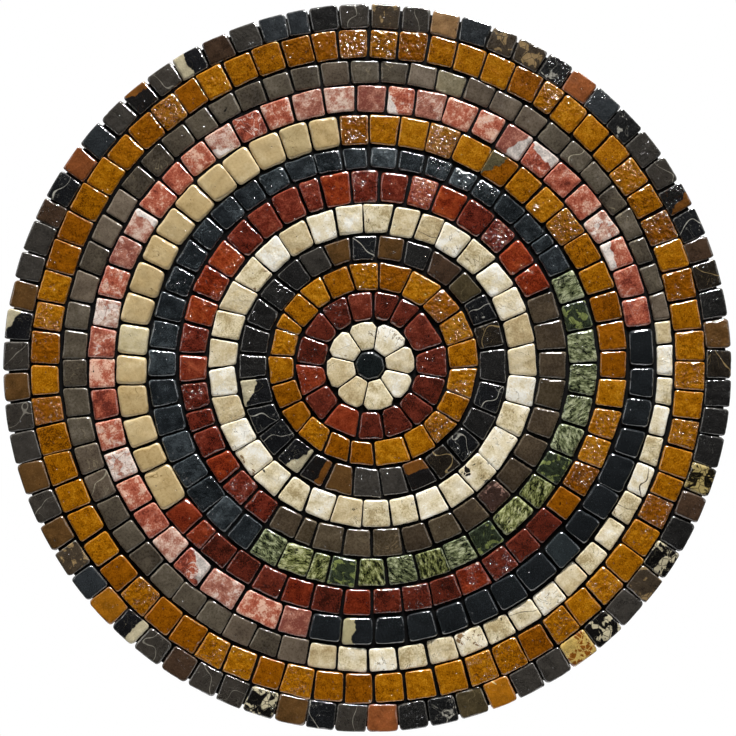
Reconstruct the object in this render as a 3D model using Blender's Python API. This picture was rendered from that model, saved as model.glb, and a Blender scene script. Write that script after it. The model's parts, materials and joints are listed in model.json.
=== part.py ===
"""Round mosaic panel of tumbled stone chips, laid in courses around a rosette, on a backing board.

The panel stands upright. Its face looks towards -Y and its flat back lies on y = 0, with the origin
at the centre of the back. Up is +Z. Angles around the panel are clock angles: degrees clockwise
from the top, as seen from the front. Sizes are in metres.
"""

import math
import random

import bmesh
import bpy

# The stones: the pitch of the courses along the radius, and how far a stone stands off the bed
CHIP_PITCH = 0.0160
CHIP_HEIGHT = 0.0090
CENTRE_RADIUS = 0.0088
CENTRE_SIDES = 8

# How far the rosette was laid to the right of and above the panel's middle
ROSETTE_RIGHT = 0.0015
ROSETTE_UP = 0.0014

# The layers behind the stones
BOARD_THICKNESS = 0.006
BOARD_SETBACK = 0.0042
BED_THICKNESS = 0.003
BED_SETBACK = 0.0030
BED_SLOPE = 0.0016
DISC_SIDES = 48
LAYER_GAP = 0.0003

# The joints between stones
COURSE_GAP = 0.0008
STONE_GAP = 0.0005
RUN_GAP = 0.0003
PETAL_SETBACK = 0.0005

# The tumbled edge of each stone
SHOULDER_WIDTH = 0.0015
SHOULDER_DROP = 0.0022
CORNER_CUT = 0.0012
PETAL_CORNER_CUT = 0.0028
RIM_CORNER_CUT = 0.0026

# How much the hand-laid stones vary
SEED = 11
PITCH_VARIATION = 0.05
SLANT_VARIATION = 0.0004
INNER_SLANT_VARIATION = 0.0011
EDGE_VARIATION = 0.0004
HEIGHT_VARIATION = 0.0003
RIM_VARIATION = 0.0008

# Where some courses swell outward and squeeze the next ones
BULGE_CLOCK = 86.0
BULGE_HALF_WIDTH = 58.0


def run(name, material, first_joint, count, odd=None, rise=1.0):
    """One row of like stones: the clock angle of its first joint, its count, the width factors of
    the stones cut wider or narrower than the rest, by their place in the run, and its height in
    chip heights."""
    return {"name": name, "material": material, "first": first_joint, "count": count,
            "odd": odd or {}, "rise": rise}


def course(width, runs, lean=(0.0, 0.0), oval=0.0, bulge=0.0, form="fused", slant=SLANT_VARIATION):
    """One ring of stones, in chip pitches: its width along the radius, how far its outer edge lies
    to the right of and above the panel's middle, how much it is wider across than tall, and how far
    it bulges. Its joints slant either way by up to a length at each end."""
    return {"width": width, "runs": runs, "lean": lean, "oval": oval, "bulge": bulge, "form": form,
            "slant": slant}


# The courses, from the centre outward
COURSES = [
    course(1.03, [run("rosette_petal", "cream_stone", 11.0, 8,
                      {0: 1.09, 1: 0.97, 2: 0.88, 3: 1.04, 4: 0.96, 5: 1.07})],
           lean=(0.11, 0.07), form="petal"),
    course(1.03, [run("red_ring_stone", "dark_red_stone", 3.3, 15,
                      {0: 0.88, 1: 0.78, 2: 1.3, 3: 1.05, 4: 0.93, 5: 0.92, 8: 1.15, 9: 1.1,
                       12: 0.9, 13: 0.94},
                      rise=1.02)],
           lean=(0.155, 0.08), oval=0.03, form="block", slant=INNER_SLANT_VARIATION),
    course(0.97, [run("inner_ochre_ring", "ochre_stone", 5.3, 22,
                      {0: 1.11, 1: 1.12, 6: 0.9, 9: 1.3, 12: 1.17, 13: 0.91, 17: 0.54, 19: 0.82,
                       20: 1.12},
                      rise=1.03)],
           lean=(0.21, 0.13), oval=0.04, slant=INNER_SLANT_VARIATION),
    course(1.01, [run("inner_veined_ring", "veined_stone", 3.4, 28, {6: 1.3, 2: 1.2}, rise=0.97)],
           lean=(0.18, 0.06), oval=0.05, slant=INNER_SLANT_VARIATION),
    course(1.03, [run("middle_cream_ring", "cream_stone", 357.5, 33, {11: 1.3, 2: 0.87})],
           lean=(0.18, 0.07), oval=0.04, slant=INNER_SLANT_VARIATION),
    course(1.03, [run("red_arc", "red_stone", 212.8, 24, {4: 0.72, 14: 0.75}),
                  run("olive_brown_arc", "olive_stone", 67.2, 16, {14: 0.58}, rise=0.97)],
           lean=(0.14, 0.155), bulge=0.08),
    course(0.93, [run("blue_black_arc", "blue_black_stone", 213.0, 28, {26: 0.48}, rise=0.98),
                  run("green_arc", "green_stone", 64.5, 18, {8: 1.25, 15: 0.62}, rise=0.98)],
           lean=(0.03, 0.03), bulge=0.31),
    course(1.04, [run("ochre_arc", "ochre_stone", 352.7, 19, {4: 1.1, 13: 0.93}, rise=1.02),
                  run("dark_red_arc", "dark_red_stone", 129.0, 15, {13: 0.64}),
                  run("beige_arc", "beige_stone", 234.6, 16, {0: 1.34, 1: 0.84}, rise=1.06)],
           lean=(0.0, 0.11), bulge=0.31),
    course(1.01, [run("pink_arc", "pink_stone", 193.0, 37, {1: 1.4, 2: 1.4, 17: 0.85}),
                  run("black_arc", "black_stone", 82.0, 16, {0: 1.28, 4: 1.16, 8: 1.16}, rise=1.08)],
           lean=(0.05, 0.09), bulge=0.20),
    course(0.87, [run("cream_arc", "cream_stone", 81.2, 19, {0: 0.82}, rise=0.95),
                  run("grey_brown_arc", "grey_brown_stone", 192.2, 44, rise=0.95)],
           lean=(0.01, 0.07)),
    course(1.07, [run("outer_ochre_ring", "ochre_stone", 359.8, 68,
                      {6: 0.79, 12: 1.1, 21: 0.78, 51: 1.1, 61: 0.82, 66: 0.81}, rise=1.02)],
           lean=(0.01, 0.05)),
    course(0.92, [run("outer_veined_ring", "veined_stone", 0.0, 74, {14: 0.78, 60: 0.82, 71: 0.74})],
           form="rim"),
]

# Base colour in sRGB and roughness of each stone and layer
MATERIALS = {
    "slate_stone": ((62, 64, 66), 0.35),
    "cream_stone": ((226, 217, 196), 0.30),
    "dark_red_stone": ((124, 42, 28), 0.28),
    "ochre_stone": ((176, 116, 26), 0.28),
    "veined_stone": ((52, 46, 42), 0.25),
    "red_stone": ((138, 48, 30), 0.28),
    "olive_stone": ((76, 66, 50), 0.30),
    "blue_black_stone": ((44, 50, 56), 0.32),
    "green_stone": ((110, 122, 86), 0.32),
    "beige_stone": ((202, 182, 138), 0.35),
    "pink_stone": ((188, 104, 98), 0.30),
    "black_stone": ((26, 25, 25), 0.22),
    "grey_brown_stone": ((88, 80, 70), 0.32),
    "black_mortar": ((30, 28, 27), 0.90),
    "cement_board": ((150, 148, 142), 0.90),
}


def linear(channel):
    """One sRGB channel from 0 to 255 as a linear value from 0 to 1."""
    share = channel / 255.0
    if share <= 0.04045:
        return share / 12.92
    return ((share + 0.055) / 1.055) ** 2.4


def make_material(object_name, stone):
    """The object's own material, named after it and coloured as its stone."""
    colour, roughness = MATERIALS[stone]
    material = bpy.data.materials.new(object_name)
    material.use_nodes = True
    shader = material.node_tree.nodes["Principled BSDF"]
    shader.inputs["Base Color"].default_value = (*[linear(value) for value in colour], 1.0)
    shader.inputs["Roughness"].default_value = roughness
    return material


def point(clock, radius):
    """Where a clock angle and a radius about the panel's middle meet, as x and z."""
    angle = math.radians(clock)
    return radius * math.sin(angle), radius * math.cos(angle)


def stone_point(clock, radius):
    """Where a clock angle and a radius about the rosette's middle meet, as x and z."""
    x, z = point(clock, radius)
    return x + ROSETTE_RIGHT, z + ROSETTE_UP


def bulge_share(clock):
    """The bulge's share at a clock angle: 1 at its middle, falling smoothly to 0 at its ends."""
    offset = (clock - BULGE_CLOCK + 180.0) % 360.0 - 180.0
    if abs(offset) >= BULGE_HALF_WIDTH:
        return 0.0
    return 0.5 + 0.5 * math.cos(math.pi * offset / BULGE_HALF_WIDTH)


def edge_radius(number, clock):
    """The radius about the rosette's middle of the edge outside course `number` at a clock angle;
    0 is the centre stone's."""
    if number == 0:
        return CENTRE_RADIUS
    ring = COURSES[number - 1]
    angle = math.radians(clock)
    right = ring["lean"][0] * CHIP_PITCH - ROSETTE_RIGHT
    up = ring["lean"][1] * CHIP_PITCH - ROSETTE_UP
    pitches = sum(ring["width"] for ring in COURSES[:number])
    pitches += ring["bulge"] * bulge_share(clock) - ring["oval"] * math.cos(2.0 * angle)
    return CENTRE_RADIUS + CHIP_PITCH * pitches + right * math.sin(angle) + up * math.cos(angle)


def panel_radius():
    """The radius of the whole panel, out to the rim stones' faces."""
    return CENTRE_RADIUS + CHIP_PITCH * sum(ring["width"] for ring in COURSES)


def joint_clocks(ring, place, chance):
    """The clock angles of a run's joints, spread to the next run's first joint."""
    row = ring["runs"][place]
    following = ring["runs"][(place + 1) % len(ring["runs"])]
    sweep = (following["first"] - row["first"]) % 360.0 or 360.0
    shares = []
    for index in range(row["count"]):
        variation = chance.uniform(-PITCH_VARIATION, PITCH_VARIATION)
        shares.append(row["odd"].get(index, 1.0) * (1.0 + variation))
    clocks = [row["first"]]
    for share in shares:
        clocks.append(clocks[-1] + sweep * share / sum(shares))
    return clocks


def cut_corners(outline, cuts):
    """The outline with each corner replaced by a short edge, cut back by its own length."""
    result = []
    for index, (x, z) in enumerate(outline):
        if not cuts[index]:
            result.append((x, z))
            continue
        for x2, z2 in (outline[index - 1], outline[(index + 1) % len(outline)]):
            share = cuts[index] / math.hypot(x2 - x, z2 - z)
            result.append((x + (x2 - x) * share, z + (z2 - z) * share))
    return result


def stone_heights(row, chance):
    """How far each stone of a run stands off the bed."""
    mean = CHIP_HEIGHT * row["rise"]
    return [mean + chance.uniform(-HEIGHT_VARIATION, HEIGHT_VARIATION) for _ in range(row["count"])]


def stones_back():
    """The plane on which the stones' backs lie, just in front of the mortar bed."""
    return -(BOARD_THICKNESS + LAYER_GAP + BED_THICKNESS + LAYER_GAP)


def raise_stones(bm, footprints, heights):
    """Stones from flat footprints: sides up to the shoulder, then each front face drawn in."""
    shoulder = min(heights) - SHOULDER_DROP
    walls = bmesh.ops.extrude_face_region(bm, geom=footprints)["geom"]
    fronts = [item for item in walls if isinstance(item, bmesh.types.BMFace)]
    for vert in {vert for face in fronts for vert in face.verts}:
        vert.co.y -= shoulder
    bmesh.ops.recalc_face_normals(bm, faces=bm.faces)
    bmesh.ops.inset_individual(bm, faces=fronts, thickness=SHOULDER_WIDTH, use_even_offset=True)
    for face, height in zip(fronts, heights):
        for vert in face.verts:
            vert.co.y -= height - shoulder
    bmesh.ops.recalc_face_normals(bm, faces=bm.faces)


def finish_object(name, bm, stone):
    """The object made from the mesh, with its own material."""
    mesh = bpy.data.meshes.new(name)
    bm.to_mesh(mesh)
    bm.free()
    mesh.materials.append(make_material(name, stone))
    made = bpy.data.objects.new(name, mesh)
    bpy.context.collection.objects.link(made)
    return made


def separate_stone(name, stone, outline, height):
    """One stone that is a solid of its own."""
    bm = bmesh.new()
    verts = [bm.verts.new((x, stones_back(), z)) for x, z in outline]
    raise_stones(bm, [bm.faces.new(verts)], [height])
    return finish_object(name, bm, stone)


def stone_corners(number, start, end, slants, setback=0.0):
    """The four corners of a separate stone: inner and outer at its start, then at its end."""
    inner = [edge_radius(number - 1, clock) + COURSE_GAP / 2 for clock in (start, end)]
    outer = [edge_radius(number, clock) - COURSE_GAP / 2 - setback for clock in (start, end)]
    corners = []
    for radii, lean in ((inner, -1.0), (outer, 1.0)):
        first = math.degrees((STONE_GAP / 2 + lean * slants[0]) / radii[0])
        last = math.degrees((STONE_GAP / 2 - lean * slants[1]) / radii[1])
        corners.append((stone_point(start + first, radii[0]), stone_point(end - last, radii[1])))
    (inner_start, inner_end), (outer_start, outer_end) = corners
    return inner_start, outer_start, outer_end, inner_end


def block_outline(number, start, end, slants):
    """A squarish stone with its four corners tumbled off."""
    return cut_corners(stone_corners(number, start, end, slants), [CORNER_CUT] * 4)


def petal_outline(number, start, end, slants):
    """A wedge stone with a rounded outer end."""
    corners = stone_corners(number, start, end, slants, PETAL_SETBACK)
    inner_start, outer_start, outer_end, inner_end = corners
    middle = (start + end) / 2
    tip = stone_point(middle, edge_radius(number, middle) - COURSE_GAP / 2 - PETAL_SETBACK)
    corners = [inner_start, outer_start, tip, outer_end, inner_end]
    return cut_corners(corners, [0.0, PETAL_CORNER_CUT, 0.0, PETAL_CORNER_CUT, 0.0])


def separate_run(number, ring, row, clocks, chance):
    """A run whose stones are solids of their own."""
    outline_of = petal_outline if ring["form"] == "petal" else block_outline
    digits = len(str(row["count"]))
    slants = [chance.uniform(-ring["slant"], ring["slant"]) for _ in range(row["count"])]
    for index, height in enumerate(stone_heights(row, chance)):
        pair = (slants[index], slants[(index + 1) % row["count"]])
        outline = outline_of(number, clocks[index], clocks[index + 1], pair)
        name = f"{row['name']}_{index + 1:0{digits}d}"
        separate_stone(name, row["material"], outline, height)


def fused_run(number, ring, row, clocks, chance):
    """A run of stones that share their joints and make one solid."""
    bm = bmesh.new()
    whole = len(ring["runs"]) == 1
    rim = ring["form"] == "rim"
    back = stones_back()
    joints = []
    for index, clock in enumerate(clocks):
        if whole and index == row["count"]:
            joints.append(joints[0])
            continue
        trim = {0: RUN_GAP / 2, row["count"]: -RUN_GAP / 2}.get(index, 0.0) if not whole else 0.0
        slant = 0.0 if trim else chance.uniform(-ring["slant"], ring["slant"])
        pair = []
        inner = edge_radius(number - 1, clock) + COURSE_GAP / 2 + chance.uniform(0.0, EDGE_VARIATION)
        outer = edge_radius(number, clock) - (RIM_CORNER_CUT if rim else COURSE_GAP / 2)
        outer -= chance.uniform(0.0, EDGE_VARIATION)
        for radius, shift in ((inner, trim - slant), (outer, trim + slant)):
            x, z = stone_point(clock + math.degrees(shift / radius), radius)
            pair.append(bm.verts.new((x, back, z)))
        joints.append(pair)
    footprints = []
    for index in range(row["count"]):
        start, end = joints[index], joints[index + 1]
        middle = []
        if rim:
            setback = chance.uniform(0.0, RIM_VARIATION)
            corner = math.degrees(RIM_CORNER_CUT / panel_radius())
            for clock in (clocks[index] + corner, clocks[index + 1] - corner):
                x, z = stone_point(clock, edge_radius(number, clock) - setback)
                middle.append(bm.verts.new((x, back, z)))
        footprints.append(bm.faces.new([start[0], start[1], *middle, end[1], end[0]]))
    raise_stones(bm, footprints, stone_heights(row, chance))
    return finish_object(row["name"], bm, row["material"])


def lay_courses():
    """All the courses of stones around the centre."""
    for number, ring in enumerate(COURSES, start=1):
        for place, row in enumerate(ring["runs"]):
            chance = random.Random(f"{SEED} {row['name']}")
            clocks = joint_clocks(ring, place, chance)
            lay = fused_run if ring["form"] in ("fused", "rim") else separate_run
            lay(number, ring, row, clocks, chance)


def lay_centre():
    """The stone at the centre of the rosette, with about eight sides."""
    reach = CENTRE_RADIUS - COURSE_GAP / 2
    turn = COURSES[0]["runs"][0]["first"]
    clocks = [turn + 360.0 * side / CENTRE_SIDES for side in range(CENTRE_SIDES)]
    outline = [stone_point(clock, reach) for clock in clocks]
    separate_stone("centre_stone", "slate_stone", outline, CHIP_HEIGHT)


def layer(name, material, back, thickness, back_radius, front_radius):
    """A round layer behind the stones, from its back plane towards the front."""
    bm = bmesh.new()
    outline = [point(360.0 * side / DISC_SIDES, back_radius) for side in range(DISC_SIDES)]
    face = bm.faces.new([bm.verts.new((x, back, z)) for x, z in outline])
    made = bmesh.ops.extrude_face_region(bm, geom=[face])["geom"]
    scale = front_radius / back_radius
    for vert in (item for item in made if isinstance(item, bmesh.types.BMVert)):
        vert.co = (vert.co.x * scale, back - thickness, vert.co.z * scale)
    bmesh.ops.recalc_face_normals(bm, faces=bm.faces)
    return finish_object(name, bm, material)


def build():
    """The whole panel, in an emptied scene."""
    for old in list(bpy.data.objects):
        bpy.data.objects.remove(old, do_unlink=True)
    board_radius = panel_radius() - BOARD_SETBACK
    bed_radius = panel_radius() - BED_SETBACK
    bed_back = -(BOARD_THICKNESS + LAYER_GAP)
    layer("backing_board", "cement_board", 0.0, BOARD_THICKNESS, board_radius, board_radius)
    layer("mortar_bed", "black_mortar", bed_back, BED_THICKNESS, bed_radius, bed_radius - BED_SLOPE)
    lay_centre()
    lay_courses()


build()
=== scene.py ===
"""Looks of the round mosaic panel: tumbled stones over the frame's solids, mortar, board, light.

Sizes are in metres unless a name or comment says otherwise. The face looks towards -Y, with +X to
the right and +Z up. Angles round the panel are clock angles: degrees clockwise from the top, from the front.
"""

import json
import math
import random

import bpy
import numpy as np
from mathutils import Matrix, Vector


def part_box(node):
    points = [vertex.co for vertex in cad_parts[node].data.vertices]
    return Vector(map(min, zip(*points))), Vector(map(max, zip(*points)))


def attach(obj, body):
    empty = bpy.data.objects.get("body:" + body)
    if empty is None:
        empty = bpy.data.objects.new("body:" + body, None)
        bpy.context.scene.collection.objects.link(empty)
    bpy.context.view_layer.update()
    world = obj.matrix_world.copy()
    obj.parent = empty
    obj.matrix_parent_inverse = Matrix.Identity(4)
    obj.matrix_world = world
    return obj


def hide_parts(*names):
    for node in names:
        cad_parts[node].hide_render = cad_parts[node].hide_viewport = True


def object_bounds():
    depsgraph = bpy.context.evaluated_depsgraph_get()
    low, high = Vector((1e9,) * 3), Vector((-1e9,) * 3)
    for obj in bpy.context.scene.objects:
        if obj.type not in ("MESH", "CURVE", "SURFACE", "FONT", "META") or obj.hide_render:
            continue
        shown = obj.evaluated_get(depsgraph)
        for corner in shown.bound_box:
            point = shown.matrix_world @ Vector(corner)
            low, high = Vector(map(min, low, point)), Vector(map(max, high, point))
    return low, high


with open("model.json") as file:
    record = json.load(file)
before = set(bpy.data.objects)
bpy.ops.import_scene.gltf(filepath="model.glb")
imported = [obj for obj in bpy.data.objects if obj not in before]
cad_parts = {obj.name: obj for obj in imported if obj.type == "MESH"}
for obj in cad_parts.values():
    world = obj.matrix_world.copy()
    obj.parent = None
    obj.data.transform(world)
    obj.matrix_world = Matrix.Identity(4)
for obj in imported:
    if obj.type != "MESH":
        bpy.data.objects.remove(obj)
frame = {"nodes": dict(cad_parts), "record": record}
cad_low, cad_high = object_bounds()
nodes = frame["nodes"]
slot_of = {entry["node"]: entry["material_slot"] for entry in frame["record"]["subparts"]}

MM = 0.001
SEED = 23
FULL_TURN = 2.0 * math.pi
QUARTER_TURN = 0.5 * math.pi
# Where a wave may start, in radians
PHASES = (0.0, 6.28)
WHITE = (1.0, 1.0, 1.0, 1.0)
BLACK = (0.0, 0.0, 0.0, 1.0)
RIM_COURSE = "outer_veined_ring"

# Reading the solids: points closer than this are one, and a front's normal is at least this far to -Y
SAME_POINT = 0.01 * MM
FRONT_NORMAL = 0.999
# How far a solid's flat front is drawn in from its joints
SOLID_SHOULDER = 1.5 * MM
# A side is a cut corner below this share of the mean side, and two sides bend below this cosine
CORNER_SIDE = 0.6
NEARLY_STRAIGHT = 0.94

# How a stone is built: points round its outline, rings up its side and shoulder, and rings across
# its face as shares of the way out; how far its foot is drawn in, and the share of its depth below
# which its side slopes to the foot
OUTLINE_POINTS = 56
SHOULDER_RINGS = 6
FACE_RINGS = (0.9, 0.76, 0.6, 0.44, 0.28, 0.12)
STONE_RINGS = 2 + SHOULDER_RINGS + len(FACE_RINGS)
FOOT_INSET = 0.3 * MM
WAIST = 0.55
# Its outline: extra passes of rounding; waves along it, with their steady and changing shares of the
# joint; nibbles, with their depth in mm; and how high each of these ripples is
EXTRA_WEAR = (0, 0, 1, 2)
OUTLINE_WAVES = (2, 3, 5)
WAVE_SHARES = (0.5, 0.3)
NIBBLES = (9, 13, 16)
NIBBLE_DEPTH = 0.035
RIPPLE_HEIGHTS = (0.3, 1.0)
# Its shoulder: how much its radius changes in two and in three waves round it, and from stone to
# stone, and the largest share of the stone's reach that it takes; then the share of stones with a
# chip, how much larger the radius is there, and how wide the chip is in radians
SHOULDER_WAVES = (0.22, 0.16)
SHOULDER_RANGE = (0.85, 1.2)
WIDEST_SHOULDER = 0.42
CHIPPED_SHARE = 0.25
CHIP_DEPTH = 0.9
CHIP_SPREAD = 0.28
# How much hand-laid stones differ: turned, shifted and narrowed in place, and tilted
TURN = math.radians(2.2)
RADIAL_SHIFT = 0.30 * MM
SIDEWAYS_SHIFT = 0.18 * MM
NARROWING = (-0.01, 0.09)
TILT = 0.035
# Lumps across a face, and the finer ones of its skin: how many waves, of what lengths in mm
LUMP = 0.10 * MM
BROAD_LUMPS = (4, 5.0, 12.0)
SKIN_LUMPS = (7, 2.4, 4.5)
SKIN_LUMP_SHARE = 0.25
# How uneven a stone's skin is, from its lot
ROUGH_LOTS = (0.25, 0.85)
ROUGH_SHARES = (0.3, 0.85)
# How far the stones of the rim stay inside the solids' radius, and how far in their outer sides show no
# mortar stain and no painted shade
RIM_CLEARANCE = 0.1 * MM
BARE_RIM = 5.0 * MM
# The marks of a stone's sides, over the wear from 0 to 1 of its shoulder: bare, or darkened as mortar
# stain and painted shade in the joints
BARE_SIDE = 1.0
STAINED_AND_SHADED_SIDE = 2.0
# How far apart stones lie in the noise that colours them, in mm
FAR_APART = 400.0
# The polish on a stone
COAT_ROUGHNESS = 0.07
COAT_IOR = 1.8
BARE_SPECULAR = 0.2
# Its marks: how far mottling and a stone's lot move its tone, sizes in mm of its skin's unevenness,
# pitted areas, pits and specks, and how dark a pit is
TONE_SPREAD = 2.4
LOT_SPREAD = 0.55
SKIN_SIZE = 1.7
PITTED_SIZE = 5.0
PIT_SIZE = 1.7
SMALL_PIT_SIZE = 0.8
SPECK_SIZE = 1.9
PIT_SHADE = 0.72
# Its figures: sizes in mm of fine veins, broken patches and cracks, and how much a bold vein sways
FINE_VEIN_SIZE = 12.0
PATCH_SIZE = 6.0
CRACK_SIZE = 4.5
SWAY_SIZE = 10.0
SWAY = 16.0
# The border of a side: size and amount of its crookedness, and how far out it lies and comes in, in mm
SIDE_SIZE = 6.0
CROOKEDNESS = 7.0
SIDE_BORDER = 7.5
SIDE_REACH = 6.0
# The size of the marks in the paler worn edge, which is partly a painted highlight, in mm
WORN_SIZE = 1.8

# The mortar: how far it stays behind the stones' front and inside the rim, and the slope of its edge
MORTAR_DEPTH = 2.8 * MM
MORTAR_RIM_SETBACK = 3.2 * MM
MORTAR_EDGE = 0.8 * MM
MORTAR_EDGE_SHARE = 0.4
MORTAR_BACK_INSET = 1.0 * MM
MORTAR_ROUGHNESS = 0.25 * MM
MORTAR_RINGS = 90
MORTAR_SPOKES = 240
MORTAR_TONES = [(2, 2, 2), (6, 5, 5), (14, 12, 10)]
# The colour of the stones' sides in the joints: partly mortar stain, partly painted shade
MORTAR_STAIN_AND_SHADE = (9, 8, 7)

# The backing board, with the mesh in its skin
BOARD_SPOKES = 144
BOARD_EDGE_RADIUS = 0.8 * MM
BOARD_EDGE_STEPS = 4
BOARD_TONES = [(118, 116, 110), (146, 144, 138), (170, 168, 162)]
MESH_TONE = (186, 186, 180)
MESH_PITCH = 4.0 * MM

# The view and the light
PHOTO_WIDTH = 736
PANEL_WIDTH_IN_PHOTO = 730
PANEL_MIDDLE_IN_PHOTO = (367.5, 368.0)
LENS_MM = 100.0
SENSOR_MM = 36.0
FLOOR_DROP = 0.35
FLOOR_SIZE = 1.0
FLOOR_FRONT = -0.35
FLOOR_TONE = (0.8, 0.8, 0.8, 1.0)
FLOOR_ROUGHNESS = 0.9
# Softboxes and the glint lamp: place, width and height, and watts
LAMPS = {
    "key_softbox": ((0.0, -1.9, 5.7), (0.34, 0.5), 720.0),
    "left_softbox": ((-1.5, -1.05, 0.35), (0.3, 0.9), 5.0),
    "right_softbox": ((1.5, -1.05, 0.35), (0.3, 0.9), 4.2),
    "back_softbox": ((0.6, 1.9, 1.6), (1.0, 1.0), 40.0),
    "glint_lamp": ((0.17, -0.35, 0.54), (0.15, 0.10), 11.0),
}
# The lamp that shows in the polish alone
GLINTS_ONLY = "glint_lamp"
FILL_LIGHT = 0.14
# The surround is darker around the camera, so that polished dark stones stay dark
DARK_SHARE = 0.05
DARK_CONE = (0.50, 0.85)
# It is darker from below too
LOW_SHARE = 0.3
LOW_TO_HIGH = (-0.3, 0.4)


def rgb(red, green, blue):
    """An sRGB colour from 0 to 255 as a linear one from 0 to 1, with an alpha of 1."""
    shares = [value / 255.0 for value in (red, green, blue)]
    return (*[s / 12.92 if s <= 0.04045 else ((s + 0.055) / 1.055) ** 2.4 for s in shares], 1.0)


# Each kind of stone.
# Its shape, in mm: joint, how far it stays from its joint lines; soft, the radius of its worn edge;
# dome, how far its face falls to the sides; worn, passes of rounding; fill, how far the solids' cut
# corners are filled out; relief, how uneven its skin is; and loose, how freely it was laid, and
# swell, by what shares its depth is larger than its place.
# Its colour: tones, from dark to light; odd, the tones of its odd stones and their share; patch and
# grit, the sizes of broad and fine mottling in mm, and fine, the share of the fine; streak, how much
# shorter its marks are one way; contrast and variety, how far tones spread within a stone and
# between stones; vein, a colour, a width and a share of stones; pits, how many and how deep; rim,
# the colour of its paler worn edge, which is partly a painted highlight along the rounded shoulder,
# and how much it shows.
# Its polish: roughness, and coat, how much wet-looking polish lies over it.
PLAIN = dict(
    joint=0.3, soft=1.1, dome=0.2, worn=1, fill=0.0, loose=1.0, swell=(-0.03, 0.06), patch=6.0,
    grit=0.9, fine=0.45, streak=1.0, contrast=1.0, variety=0.6, odd=None, vein=None,
    pits=(0.1, 0.3), relief=0.12, roughness=0.26, coat=0.6)
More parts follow.
